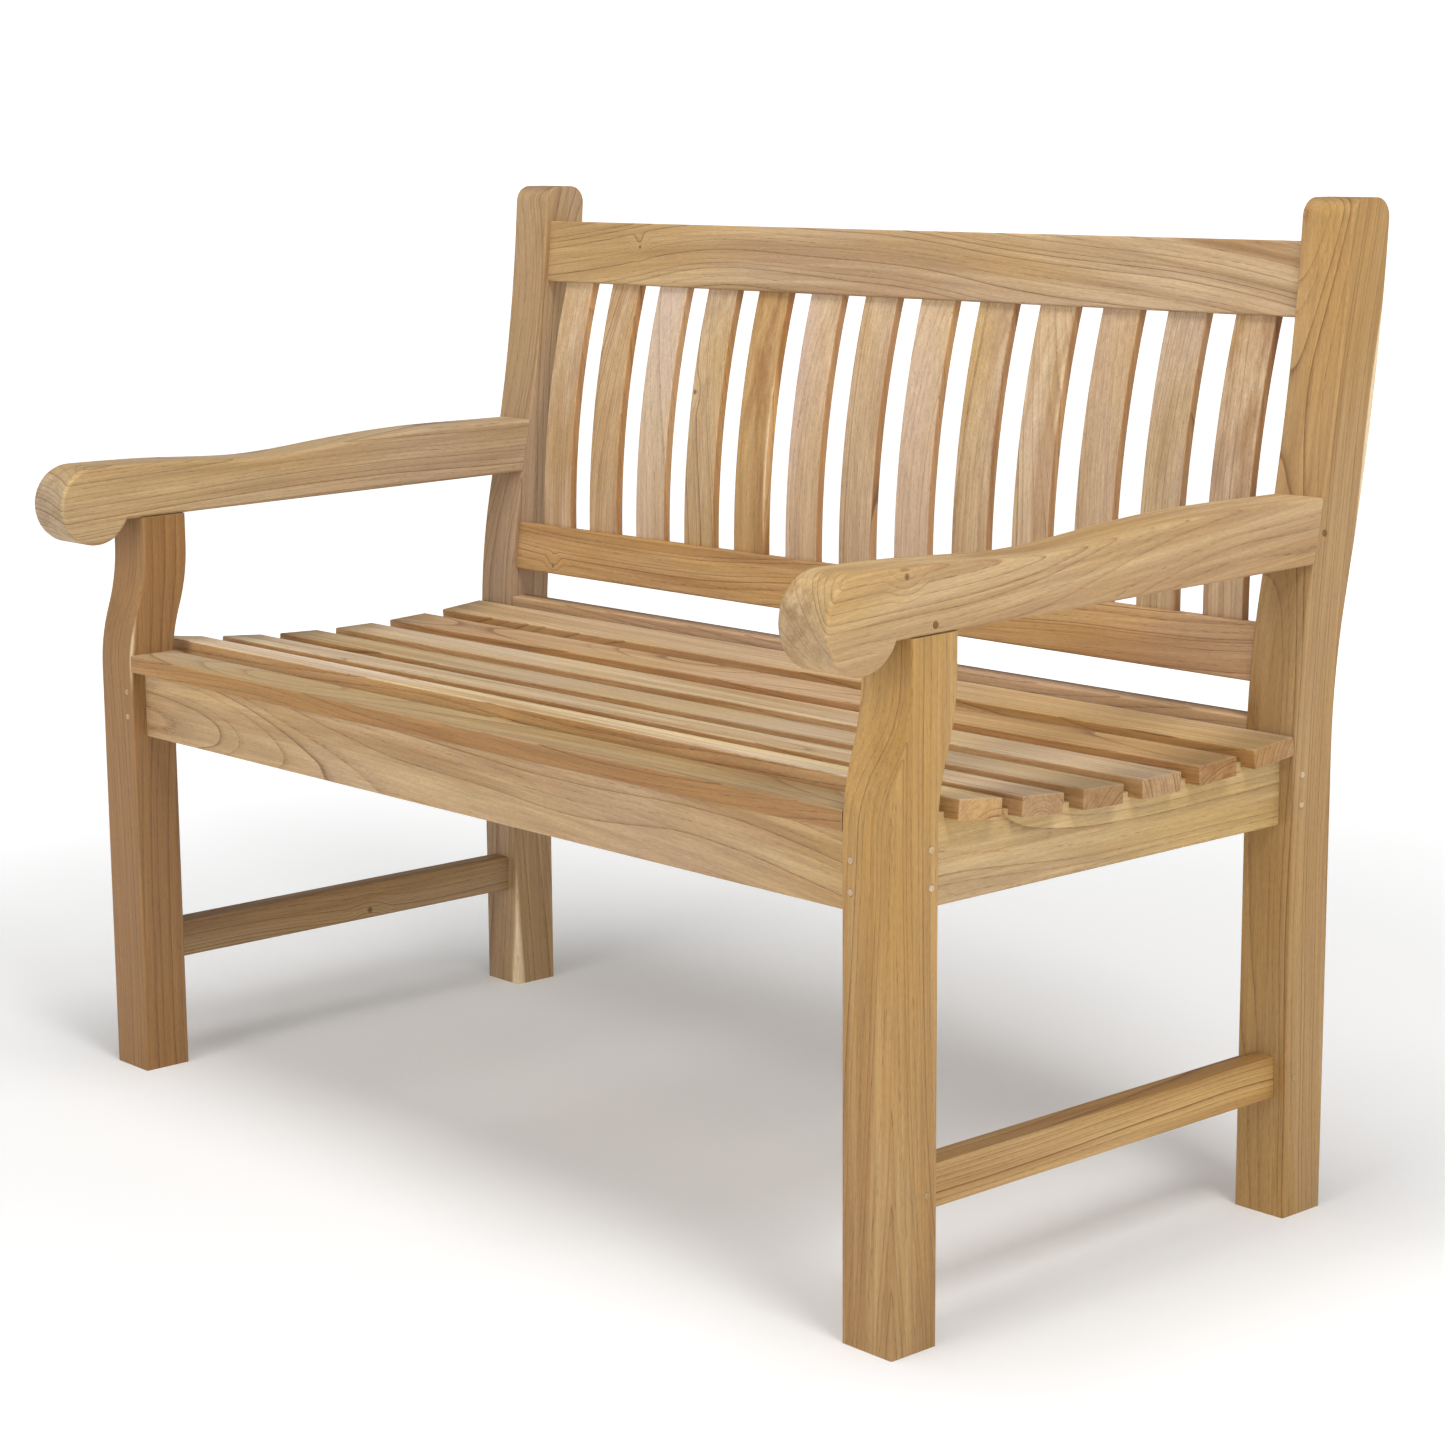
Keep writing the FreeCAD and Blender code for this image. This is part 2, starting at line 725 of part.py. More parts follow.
def peg_group(pegs):
    """Both sides' pegs as one group of separate solids."""
    solids = []
    for start, end in pegs:
        one = peg(start, end)
        solids += [one, mirrored(one)]
    return Part.makeCompound(solids)


def dowel_group():
    """All the hidden dowels under the seat slats."""
    return Part.makeCompound([peg(start, end) for start, end in front_dowel_lines() + slat_dowel_lines()])


# ---- the whole bench -------------------------------------------------------------------
def make_parts():
    parts = {}
    handed = {"front_leg": make_front_leg(), "back_leg": make_back_leg(), "arm": make_arm(),
              "side_seat_rail": make_side_rail(), "stretcher": make_stretcher()}
    for name, shape in handed.items():
        parts[name + "_right"] = shape
        parts[name + "_left"] = mirrored(shape)
    parts["front_seat_rail"] = make_front_rail()
    parts["back_seat_rail"] = make_back_rail()
    parts["centre_seat_bearer"] = make_centre_bearer()
    parts["seat_slat_1"] = make_front_slat()
    for number, place in enumerate(seat_slat_places(), start=2):
        parts["seat_slat_%d" % number] = make_seat_slat(place)
    parts["back_top_rail"] = make_back_frame_rail(top_rail_middle, top_rail_height)
    parts["back_lower_rail"] = make_back_frame_rail(lower_rail_middle, lower_rail_height)
    for number, x in enumerate(back_slat_places(), start=1):
        parts["back_slat_%02d" % number] = make_back_slat(x)
    parts["front_rail_pegs"] = peg_group(front_rail_pegs())
    parts["side_rail_pegs"] = peg_group(side_rail_pegs())
    parts["stretcher_pegs"] = peg_group(stretcher_pegs())
    parts["back_rail_pegs"] = peg_group(back_rail_pegs() + back_frame_pegs())
    parts["arm_pegs"] = peg_group(arm_pegs())
    parts["seat_slat_dowels"] = dowel_group()
    return parts


def main():
    os.makedirs("parts", exist_ok=True)
    parts = make_parts()
    boxes = [shape.optimalBoundingBox(False) for shape in parts.values()]
    front = min(limit.YMin for limit in boxes)
    rear = max(limit.YMax for limit in boxes)
    for name, shape in parts.items():
        shape.translate(V(0, -(front + rear) / 2, 0))
        shape.exportStep("parts/%s.step" % name)
        size = shape.optimalBoundingBox(False)
        print("%-20s %d solids  %.1f x %.1f x %.1f" % (name, len(shape.Solids), size.XLength,
                                                       size.YLength, size.ZLength))
    print("overall depth %.2f, front leg face at y %.2f" % (rear - front, -(front + rear) / 2))


main()
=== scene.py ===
# %% [markdown]
# # A teak garden bench
#
# The bench is an open, slatted two-seater in new teak: sawn, shaped, glued, pegged and sanded, but
# not oiled, so its surface is matt and its colour changes from board to board. The shapes of all
# its pieces come ready from the CAD model, with their tenons, notches and eased edges. What
# Blender adds here is the wood itself.
#
# Wood is a solid material. A board shows arches, stripes or end grain because it was sawn from a
# round log in one place or another. So this lesson makes one log out of nodes, and saws each piece
# from its own place in it. Arches, stripes and ring ends then meet along every edge by themselves.

import math

import bpy
from mathutils import Matrix, Vector


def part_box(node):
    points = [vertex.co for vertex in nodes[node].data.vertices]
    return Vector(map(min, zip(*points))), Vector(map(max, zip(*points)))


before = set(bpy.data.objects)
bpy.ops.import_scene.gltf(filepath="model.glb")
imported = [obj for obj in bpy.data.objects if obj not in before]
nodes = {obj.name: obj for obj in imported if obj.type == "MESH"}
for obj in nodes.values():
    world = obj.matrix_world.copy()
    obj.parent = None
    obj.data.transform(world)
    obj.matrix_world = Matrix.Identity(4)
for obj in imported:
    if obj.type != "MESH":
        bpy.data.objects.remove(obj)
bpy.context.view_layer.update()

# %% [markdown]
# ## Where we stand
#
# The bench is looked at from one metre up, about the height of a person's waist, and well round to
# its right, with a lens longer than normal. A short lens close by would make the near leg huge. A
# long one far away would make the two ends look equal. Lens and distance are therefore set
# together, and the camera is placed by numbers and not by eye. It is turned by building its three
# axes, because that keeps the small sideways lean of the camera apart from its turn and its tilt.

# %% The camera
camera_place = Vector((2.3665, -2.05518, 1.0049))
turn, tilt, lean = math.radians(47.9774), math.radians(-10.5526), math.radians(-0.3998)
lens_mm = 79.6
sees_as_far_as = 100

forward = Vector((-math.sin(turn) * math.cos(tilt), math.cos(turn) * math.cos(tilt), math.sin(tilt)))
level_right = Vector((math.cos(turn), math.sin(turn), 0))
level_up = level_right.cross(forward)
right = math.cos(lean) * level_right + math.sin(lean) * level_up
up = math.cos(lean) * level_up - math.sin(lean) * level_right

camera = bpy.data.objects.new("studio_camera", bpy.data.cameras.new("studio_camera"))
bpy.context.scene.collection.objects.link(camera)
axes = Matrix((right, up, -forward)).transposed()
camera.matrix_world = Matrix.Translation(camera_place) @ axes.to_4x4()
camera.data.lens = lens_mm
camera.data.clip_end = sees_as_far_as
bpy.context.scene.camera = camera
print("the camera is", round(camera_place.length, 2), "m from the middle of the bench's foot")

# %% [markdown]
# ## A small workshop for nodes
#
# The wood below takes about a hundred nodes. Written out one by one they hide what is going on, so
# this class keeps one node tree and offers a method for each kind of step. Every method takes plain
# numbers or sockets. Most give back the socket that holds the result.


# %% Helpers that write nodes
class Recipe:
    def __init__(self, tree):
        self.tree = tree

    def add(self, kind, **settings):
        """One new node."""
        made = self.tree.nodes.new(kind if kind.startswith("NodeGroup") else "ShaderNode" + kind)
        for name, value in settings.items():
            setattr(made, name, value)
        return made

    def put(self, socket, value):
        """Links a socket to another one, or writes a number, vector or colour into it."""
        if isinstance(value, bpy.types.NodeSocket):
            self.tree.links.new(value, socket)
        else:
            socket.default_value = value

    def maths(self, operation, *values, clamp=False):
        """A sum on numbers."""
        made = self.add("Math", operation=operation, use_clamp=clamp)
        for socket, value in zip(made.inputs, values):
            self.put(socket, value)
        return made.outputs[0]

    def vectors(self, operation, *values):
        """A sum on vectors."""
        made = self.add("VectorMath", operation=operation)
        for socket, value in zip(made.inputs, values):
            self.put(socket, value)
        gives_number = operation in ("LENGTH", "DOT_PRODUCT", "DISTANCE")
        return made.outputs["Value" if gives_number else "Vector"]

    def gather(self, x, y):
        """A vector from two numbers."""
        made = self.add("CombineXYZ")
        self.put(made.inputs[0], x)
        self.put(made.inputs[1], y)
        return made.outputs[0]

    def blend(self, share, first, second, way="MIX"):
        """Two colours mixed; the share belongs to the second one."""
        made = self.add("Mix", data_type="RGBA", blend_type=way)
        self.put(made.inputs[0], share)
        self.put(made.inputs[6], first)
        self.put(made.inputs[7], second)
        return made.outputs[2]

    def tint(self, colour, by):
        """A colour multiplied by another one, or by a grey number."""
        return self.blend(1.0, colour, by, "MULTIPLY")

    def rescale(self, value, low, high, to_low=0.0, to_high=1.0, smooth=False):
        """Maps the range low to high onto to_low to to_high, and stops at its ends."""
        made = self.add("MapRange", interpolation_type="SMOOTHSTEP" if smooth else "LINEAR")
        for socket, number in zip(made.inputs, (value, low, high, to_low, to_high)):
            self.put(socket, number)
        return made.outputs[0]

    def noise(self, place, per_metre, detail=2.0, rough=0.5):
        """A cloudy pattern, with so many clouds a metre along each axis."""
        made = self.add("TexNoise", noise_dimensions="3D")
        self.put(made.inputs["Vector"], self.vectors("MULTIPLY", place, per_metre))
        made.inputs["Scale"].default_value = 1.0
        made.inputs["Detail"].default_value = detail
        made.inputs["Roughness"].default_value = rough
        return made.outputs

    def ramp(self, value, stops):
        """A curve through (position, height) stops."""
        made = self.add("ValToRGB")
        marks = made.color_ramp.elements
        while len(marks) < len(stops):
            marks.new(0.5)
        for mark, (position, grey) in zip(marks, stops):
            mark.position = position
            mark.color = (grey, grey, grey, 1)
        self.put(made.inputs[0], value)
        return made.outputs[0]


print("the workshop is ready")

# %% [markdown]
# ## The studio
#
# Pale furniture is usually shown on white paper that curves up behind it, so that no horizon shows.
# People walk round this bench, so the paper curves up on every side: it is one shallow bowl, made
# by turning a profile round the Z axis. The flat part of the bowl is the floor.

# %% The floor and its sweep
floor_rings = (0.5, 2.0, 4.5, 7.0)
floor_radius = floor_rings[-1]
sweep_radius = 3.0
sweep_steps = 12
around = 96

profile = [(radius, 0.0) for radius in floor_rings]
for step in range(1, sweep_steps + 1):
    angle = math.radians(90 / sweep_steps * step)
    rise = sweep_radius * (1 - math.cos(angle))
    profile.append((floor_radius + sweep_radius * math.sin(angle), rise))
points = [(0.0, 0.0, 0.0)]
for radius, height in profile:
    for k in range(around):
        angle = 2 * math.pi * k / around
        points.append((radius * math.cos(angle), radius * math.sin(angle), height))
faces = [(0, 1 + k, 1 + (k + 1) % around) for k in range(around)]
for ring in range(len(profile) - 1):
    for k in range(around):
        here, there = 1 + ring * around + k, 1 + ring * around + (k + 1) % around
        faces.append((here, here + around, there + around, there))

sweep = bpy.data.meshes.new("white_sweep")
sweep.from_pydata(points, [], faces)
sweep.polygons.foreach_set("use_smooth", [True] * len(sweep.polygons))
floor = bpy.data.objects.new("white_sweep", sweep)
bpy.context.scene.collection.objects.link(floor)
print("the floor is", 2 * floor_radius, "m across, with", len(faces), "faces")

# %% [markdown]
# ## White paper
#
# A studio lights its background with lamps of its own. Here the far paper glows instead, and the
# floor under the bench hardly does, so that the bench still throws a soft shadow there. The glow
# depends on the distance from the middle of the floor alone, and rises smoothly, so no edge shows.

# %% The paper
paper_white, paper_roughness = 0.84, 0.9

paper = bpy.data.materials.new("white_paper")
paper.use_nodes = True
paper_shader = paper.node_tree.nodes["Principled BSDF"]
paper_shader.inputs["Base Color"].default_value = (paper_white, paper_white, paper_white, 1)
paper_shader.inputs["Roughness"].default_value = paper_roughness
paper_shader.inputs["Emission Color"].default_value = (1, 1, 1, 1)

glow_starts, glow_full = 0.3, 3.2
glow_near, glow_far = 0.09, 0.8
card = Recipe(paper.node_tree)
from_middle = card.vectors("LENGTH", card.add("TexCoord").outputs["Object"])
glow = card.rescale(from_middle, glow_starts, glow_full, glow_near, glow_far, smooth=True)
card.put(paper_shader.inputs["Emission Strength"], glow)
sweep.materials.append(paper)
print("the paper glows fully from", glow_full, "m outwards")

# %% [markdown]
# ## The light
#
# The light comes from four large panels: one overhead, one high on the right, a weaker one lower on
# the right, and one in front. They make the tops and the right-hand faces a little brighter than
# the front, and leave the frame under the seat in soft shade. The sky adds just enough to keep that
# shade open. Colours are shown with the plain display curve, so that white paper comes out white.

# %% The sky and the lamps
sky_strength = 0.07
aim = Vector((0, 0, 0.4))

world = bpy.data.worlds.new("studio")
bpy.context.scene.world = world
world.use_nodes = True
sky = world.node_tree.nodes["Background"]
sky.inputs["Color"].default_value = (1.0, 1.0, 1.0, 1)
sky.inputs["Strength"].default_value = sky_strength


def soft_lamp(name, place, size, watts):
    """A square panel of light, size metres across, turned to the middle of the bench."""
    panel = bpy.data.lights.new(name, "AREA")
    panel.size = size
    panel.energy = watts
    lamp = bpy.data.objects.new(name, panel)
    bpy.context.scene.collection.objects.link(lamp)
    lamp.location = place
    lamp.rotation_euler = (aim - Vector(place)).to_track_quat("-Z", "Y").to_euler()
    lamp.visible_camera = False


soft_lamp("panel_overhead", (0.2, -0.4, 3.8), size=1.8, watts=78)
soft_lamp("panel_high_right", (3.0, -0.8, 3.6), size=1.2, watts=63)
soft_lamp("panel_right", (4.4, 0.2, 2.0), size=2.4, watts=25)
soft_lamp("panel_front", (0.4, -4.6, 2.2), size=2.4, watts=69)
bpy.context.scene.view_settings.view_transform = "Standard"
bpy.context.scene.view_settings.look = "None"
print("four panels and a dim sky")

# %% [markdown]
# ## The log and what is told about it
#
# The log is a node group, so that every piece shares it and only a few facts differ from piece to
# piece. `Place` is a point in the log's own space, where Z runs up the stem along its axis, the
# pith. `Ring width`, `Sapwood from` and `Bulge` are in metres. The board's tone is a tint that holds
# painted light and painted shade as well as the colour of its wood. `Bulge` and `Knot` belong to
# knots, and the last three say what kind of face is being coloured.

# %% The log's sockets
FACTS = {
    "Log number": 0.0, "Ring width": 0.0045, "Ring strength": 0.6, "Sapwood from": 9.0,
    "Streaks": 1.0, "Blush": 0.4, "Bulge": 0.0, "Knot": 0.0, "End face": 0.0, "Raw edge": 0.0,
    "Wear and highlight": 0.0,
}
log = bpy.data.node_groups.new("Teak log", "ShaderNodeTree")
log.interface.new_socket(name="Place", in_out="INPUT", socket_type="NodeSocketVector")
log.interface.new_socket(name="Tone and painted light", in_out="INPUT", socket_type="NodeSocketColor")
for fact, usual in FACTS.items():
    made = log.interface.new_socket(name=fact, in_out="INPUT", socket_type="NodeSocketFloat")
    made.default_value = usual
log.interface.new_socket(name="Colour", in_out="OUTPUT", socket_type="NodeSocketColor")
for finish in ("Roughness", "Height"):
    log.interface.new_socket(name=finish, in_out="OUTPUT", socket_type="NodeSocketFloat")

wood = Recipe(log)
given = wood.add("NodeGroupInput").outputs
place = given["Place"]
print("the log takes", len(given) - 1, "facts")

# %% [markdown]
# ## Rings
#
# Teak grows in rings 3 to 7 mm wide. Each year starts with a row of large pores, which the saw
# opens, and that row is the thin brown line of the figure. The distance from the pith says how old
# the wood is. Three things keep it from looking turned on a lathe: the stem sways over a metre or
# so, the rings ripple, and the years are not equally wide or equally dark. So the distance is bent
# first, then cut into years, and each year gets a chance darkness of its own, the same every time.

# %% The years
sways_per_metre, sway_metres = (1.3, 1.3, 1.5), 0.07
ripples_per_metre, ripple_metres = (16, 16, 3.2), 0.006
weather_per_year, weather_swing = 0.45, 2.2
faintest, darkest, mostly_faint = 0.2, 1.15, 1.3
midway = (0.5, 0.5, 0.5)

sway = wood.noise(place, sways_per_metre, detail=1.0)["Color"]
ripple = wood.noise(place, ripples_per_metre, detail=2.0)["Color"]
swayed = wood.vectors("MULTIPLY", wood.vectors("SUBTRACT", sway, midway), (sway_metres, sway_metres, 0))
rippled = wood.vectors("MULTIPLY", wood.vectors("SUBTRACT", ripple, midway),
                       (ripple_metres, ripple_metres, 0))
bent = wood.vectors("ADD", wood.vectors("ADD", place, swayed), rippled)
from_pith = wood.vectors("LENGTH", wood.vectors("MULTIPLY", bent, (1, 1, 0)))
age_radius = wood.maths("ADD", from_pith, given["Bulge"])

years = wood.maths("DIVIDE", age_radius, given["Ring width"])
weather = wood.add("TexNoise", noise_dimensions="2D")
weather_place = wood.gather(wood.maths("MULTIPLY", years, weather_per_year), given["Log number"])
wood.put(weather.inputs["Vector"], weather_place)
weather.inputs["Scale"].default_value = 1.0
weather.inputs["Detail"].default_value = 1.0
uneven = wood.maths("MULTIPLY_ADD", weather.outputs["Fac"], weather_swing, years)
season = wood.maths("FRACT", uneven)

mark = wood.add("TexWhiteNoise", noise_dimensions="2D")
wood.put(mark.inputs["Vector"], wood.gather(wood.maths("FLOOR", uneven), given["Log number"]))
chance = wood.maths("POWER", mark.outputs["Value"], mostly_faint)
marked = wood.rescale(chance, 0, 1, faintest, darkest)
year_stops = [(0.0, 0.6), (0.04, 1.0), (0.12, 0.5), (0.28, 0.16), (0.7, 0.05), (1.0, 0.0)]
pore_row = wood.ramp(season, year_stops)
line = wood.maths("MULTIPLY", pore_row, marked)
print("the log has its rings:", len(log.nodes), "nodes so far")

# %% [markdown]
# ## Streaks, fibres and pores
#
# The finer layers are noise stretched along Z, as the cells of a tree are: soft streaks of colour
# as wide as a finger, patches as wide as a hand, fibres from three millimetres wide down to less
# than half of one, a fine grit, and pores up to three quarters of a millimetre wide. Cut lengthways
# the pores show as dashes, and cut across, on the end of a board, as dots. They are largest in the
# row that starts the year.

# %% The cells
streaks_per_metre = (55, 55, 1.7)
patches_per_metre = (7, 7, 2.2)
fibres_per_metre = (320, 320, 7)
grit_per_metre = (1500, 1500, 160)
pores_per_metre = (950, 950, 55)
smallest_pore, largest_pore, pore_wall = 0.16, 0.44, 0.16

streak = wood.noise(place, streaks_per_metre, detail=3.0, rough=0.6)["Fac"]
patches = wood.noise(place, patches_per_metre, detail=2.0)
fibre = wood.noise(place, fibres_per_metre, detail=3.0, rough=0.75)["Fac"]
grit = wood.noise(place, grit_per_metre, detail=1.0)["Fac"]

cells = wood.add("TexVoronoi", voronoi_dimensions="3D", feature="F1")
wood.put(cells.inputs["Vector"], wood.vectors("MULTIPLY", place, pores_per_metre))
cells.inputs["Scale"].default_value = 1.0
pore_size = wood.rescale(pore_row, 0, 1, smallest_pore, largest_pore)
inside = wood.maths("SUBTRACT", pore_size, cells.outputs["Distance"])
pore = wood.maths("MINIMUM", wood.maths("DIVIDE", inside, pore_wall), 1.0)
pore = wood.maths("MAXIMUM", pore, 0.0)
print("and its cells:", len(log.nodes), "nodes")

# %% [markdown]
# ## The colours of teak
#
# Colours are picked as a screen shows them, from 0 to 255, and turned into the linear numbers that
# shaders work in. New teak is honey-coloured, with brown streaks, pinkish patches in some boards
# and golden, oily ones in others. The two kinds of patch keep out of each other's way: a board with
# much blush has little gold. Noise lies mostly between 0.3 and 0.7, so that is where each layer
# fades in.


# %% Heartwood and sapwood
def srgb(red, green, blue):
    """A colour given as a screen shows it, 0 to 255, as the linear colour that shaders work in."""
    lit = []
    for part in (red, green, blue):
        share = part / 255
        lit.append(share / 12.92 if share <= 0.04045 else ((share + 0.055) / 1.055) ** 2.4)
    return (*lit, 1.0)


honey, brown_streak = srgb(212, 176, 130), srgb(172, 128, 82)
pink, gold = srgb(206, 171, 140), srgb(204, 160, 92)
sapwood = srgb(226, 202, 162)
most_gold, lost_to_blush = 0.75, 0.6
sap_fades_from, sap_full_at = -0.0015, 0.0025

streaked = wood.rescale(streak, 0.33, 0.68, smooth=True)
heart = wood.blend(wood.maths("MULTIPLY", streaked, given["Streaks"]), honey, brown_streak)
blushing = wood.rescale(patches["Fac"], 0.36, 0.62, smooth=True)
heart = wood.blend(wood.maths("MULTIPLY", blushing, given["Blush"]), heart, pink)
oily = wood.add("SeparateColor")
wood.put(oily.inputs[0], patches["Color"])
gold_share = wood.maths("MULTIPLY_ADD", given["Blush"], -lost_to_blush, most_gold)
golden = wood.rescale(oily.outputs[2], 0.42, 0.66, smooth=True)
heart = wood.blend(wood.maths("MULTIPLY", gold_share, golden), heart, gold)
# The board's tint holds painted light and painted shade as well as the tone of its wood.
heart = wood.tint(heart, given["Tone and painted light"])

past_heart = wood.maths("SUBTRACT", age_radius, given["Sapwood from"])
sap = wood.rescale(past_heart, sap_fades_from, sap_full_at, smooth=True)
body = wood.blend(sap, heart, sapwood)
print("heartwood and sapwood are coloured")

# %% [markdown]
# ## Lines, fibres and pores on the colour
#
# The lines are laid on first. They are fainter in sapwood and stronger on the end of a board. The
# fibres and a finer grit then make everything a little lighter or darker, and the pores are dug
# into that as small brown hollows.

# %% The figure
pore_line, pore_hollow = srgb(134, 92, 56), srgb(104, 68, 40)
fainter_in_sap, stronger_on_ends, hollow_share = 0.6, 0.5, 0.5
dark_fibre, light_fibre = 0.79, 1.17
dark_grit, light_grit = 0.87, 1.12

line_share = wood.maths("MULTIPLY", line, given["Ring strength"])
in_sap = wood.maths("MULTIPLY_ADD", sap, -fainter_in_sap, 1.0)
on_ends = wood.maths("MULTIPLY_ADD", given["End face"], stronger_on_ends, 1.0)
line_share = wood.maths("MULTIPLY", wood.maths("MULTIPLY", line_share, in_sap), on_ends)
figured = wood.blend(line_share, body, wood.tint(pore_line, given["Tone and painted light"]))
figured = wood.tint(figured, wood.rescale(fibre, 0.25, 0.75, dark_fibre, light_fibre))
figured = wood.tint(figured, wood.rescale(grit, 0.2, 0.8, dark_grit, light_grit))
figured = wood.blend(wood.maths("MULTIPLY", pore, hollow_share), figured, pore_hollow)
print("the figure is laid on:", len(log.nodes), "nodes")

# %% [markdown]
# ## Sawn edges, ends, arrises with wear and a painted highlight, and knots
#
# Not every face was planed alike. The narrow edges of a slat come from the saw and are browner. End
# grain drinks light and looks greyer. The arrises, which is what a joiner calls the sharp edges,
# were eased with sandpaper and are a little paler: partly from that wear, and partly as a painted
# highlight where a rounded edge catches the light. Knots are dark and go on last.

# %% What the tools left, and a painted highlight on the arrises
sawn_tint, end_tint = srgb(238, 212, 178), srgb(236, 240, 252)
# The paler arris colour is partly wear and partly a painted highlight.
wear_and_highlight_colour, knot_colour = srgb(238, 212, 168), srgb(86, 52, 30)
least_wear_and_highlight, most_wear_and_highlight = 0.15, 0.6

surface = wood.blend(given["Raw edge"], figured, wood.tint(figured, sawn_tint))
surface = wood.blend(given["End face"], surface, wood.tint(surface, end_tint))
# Paler along the arrises: partly wear, partly a painted highlight on the rounded edge.
patchy = wood.rescale(streak, 0.3, 0.7, least_wear_and_highlight, most_wear_and_highlight)
wear_and_highlight_share = wood.maths("MULTIPLY", given["Wear and highlight"], patchy)
surface = wood.blend(wear_and_highlight_share, surface, wood.tint(wear_and_highlight_colour, given["Tone and painted light"]))
surface = wood.blend(given["Knot"], surface, knot_colour)
print("edges, ends and knots are coloured")

# %% [markdown]
# ## Gloss and relief
#
# Bare, sanded teak is matt. Pores and end grain are the roughest. The relief is a height that the
# bump of each board reads later: fibres and grit stand up a little, and pores, ring lines and knots
# lie lower.

# %% Gloss and relief of the log
smoothest, roughest = 0.56, 0.7
pores_add, ends_add = 0.12, 0.1
grit_height, fibre_height = 0.25, 0.5
pore_depth, line_depth, knot_depth = 0.8, 0.5, 0.6

roughness = wood.rescale(fibre, 0.2, 0.8, smoothest, roughest)
roughness = wood.maths("MULTIPLY_ADD", pore, pores_add, roughness)
roughness = wood.maths("MULTIPLY_ADD", given["End face"], ends_add, roughness, clamp=True)
relief = wood.maths("MULTIPLY", grit, grit_height)
relief = wood.maths("MULTIPLY_ADD", fibre, fibre_height, relief)
relief = wood.maths("MULTIPLY_ADD", pore, -pore_depth, relief)
relief = wood.maths("MULTIPLY_ADD", line, -line_depth, relief)
relief = wood.maths("MULTIPLY_ADD", given["Knot"], -knot_depth, relief)

result = wood.add("NodeGroupOutput")
wood.put(result.inputs["Colour"], surface)
wood.put(result.inputs["Roughness"], roughness)
wood.put(result.inputs["Height"], relief)
print("the log is finished:", len(log.nodes), "nodes")

# %% [markdown]
# ## Where a board lies in its log
#
# A board is told by a few facts: which way its grain runs, where the pith was, seen from the middle
# of the board, how fast the pith moves away along the board, how much the stem was bowed there, and
# which log it came from. With the pith straight behind a face, that face shows arches. With the
# pith far off edgeways, it shows stripes. The lean decides how quickly the arches close.
#
# One Mapping node turns the bench's space into the log's space. The pith, the lean and the bow are
# given in the bench's own directions, in metres, because that is how one looks at a board. All logs
# lie in one long row along Z, so that boards from different logs don't repeat each other.

# %% From the bench into the log
GRAIN = {"x": Vector((1, 0, 0)), "y": Vector((0, 1, 0)), "z": Vector((0, 0, 1))}
LOG_SPACING = 3.7


def into_log_turn(grain, lean):
    """The turn from the bench's axes to the log's, whose Z runs along the leaning grain."""
    log_z = (GRAIN[grain] + Vector(lean)).normalized()
    side = GRAIN["y"] if grain != "y" else GRAIN["z"]
    log_x = side.cross(log_z).normalized()
    return Matrix((log_x, log_z.cross(log_x), log_z))


def into_log(recipe, in_bench, turn, pith_place, bow, log_number):
    """The socket with the log's own place for each point of the board."""
    log_start = LOG_SPACING * log_number
    mapping = recipe.add("Mapping", vector_type="POINT")
    recipe.put(mapping.inputs["Vector"], in_bench)
    mapping.inputs["Rotation"].default_value = turn.to_euler()
    mapping.inputs["Location"].default_value = turn @ -pith_place + Vector((0, 0, log_start))
    if not any(bow):
        return mapping.outputs[0]
    parts = recipe.add("SeparateXYZ")
    recipe.put(parts.inputs[0], mapping.outputs[0])
    along = recipe.maths("SUBTRACT", parts.outputs[2], log_start)
    bend = recipe.add("VectorMath", operation="SCALE")
    bend.inputs[0].default_value = turn @ -Vector(bow)
    recipe.put(bend.inputs["Scale"], recipe.maths("MULTIPLY", along, along))
    return recipe.vectors("ADD", mapping.outputs[0], bend.outputs[0])


print("boards can be laid in the log")

# %% [markdown]
# ## Knots
#
# Five boards have a small knot: a branch that ran out through the wood. The rings part to go round
# it. So near a knot the wood is made to seem older, which pushes the lines aside, and the middle of
# the knot is dark. A knot is told by its place on the bench and its radius, both in metres.

# %% Knots
KNOTS = {
    "arm_right": ((0.6, -0.2654, 0.6535), 0.004),
    "back_top_rail": ((-0.3824, 0.3024, 0.8736), 0.003),
    "back_lower_rail": ((-0.4766, 0.2456, 0.5093), 0.003),
    "back_slat_04": ((-0.2637, 0.2777, 0.7193), 0.004),
    "stretcher_left": ((-0.5588, 0.0335, 0.1233), 0.005),
}
DARK_CORE, DARKNESS = 0.3, 0.75
REACH, YEARS_PUSHED = 7, 1.5


def add_knot(recipe, teak, in_bench, centre, radius, ring):
    """A dark spot of the given radius, with the rings pushed aside for seven radii round it."""
    away = recipe.vectors("DISTANCE", in_bench, centre)
    dark = recipe.rescale(away, radius, DARK_CORE * radius, 0, DARKNESS, smooth=True)
    pushed = recipe.rescale(away, REACH * radius, radius, 0, YEARS_PUSHED * ring, smooth=True)
    recipe.put(teak.inputs["Knot"], dark)
    recipe.put(teak.inputs["Bulge"], pushed)


print(len(KNOTS), "knots are known")

# %% [markdown]
# ## What kind of face it is
#
# The direction that a face looks in tells its kind. Along the grain, it is end grain. For slats,
# `flat` is the way their broad faces look, and every other face is a sawn edge. A Bevel node looks
# around each point and gives the direction that a slightly rounded edge would have. Where it
# differs from the true direction, the point lies on an arris: it is painted paler there, partly as
# wear and partly as a painted highlight, and it is also shaded as round, which eases all edges
# without touching the mesh. Directions are compared by the cosine of the angle between them, which
# is 1 where they agree and 0 where they are square.

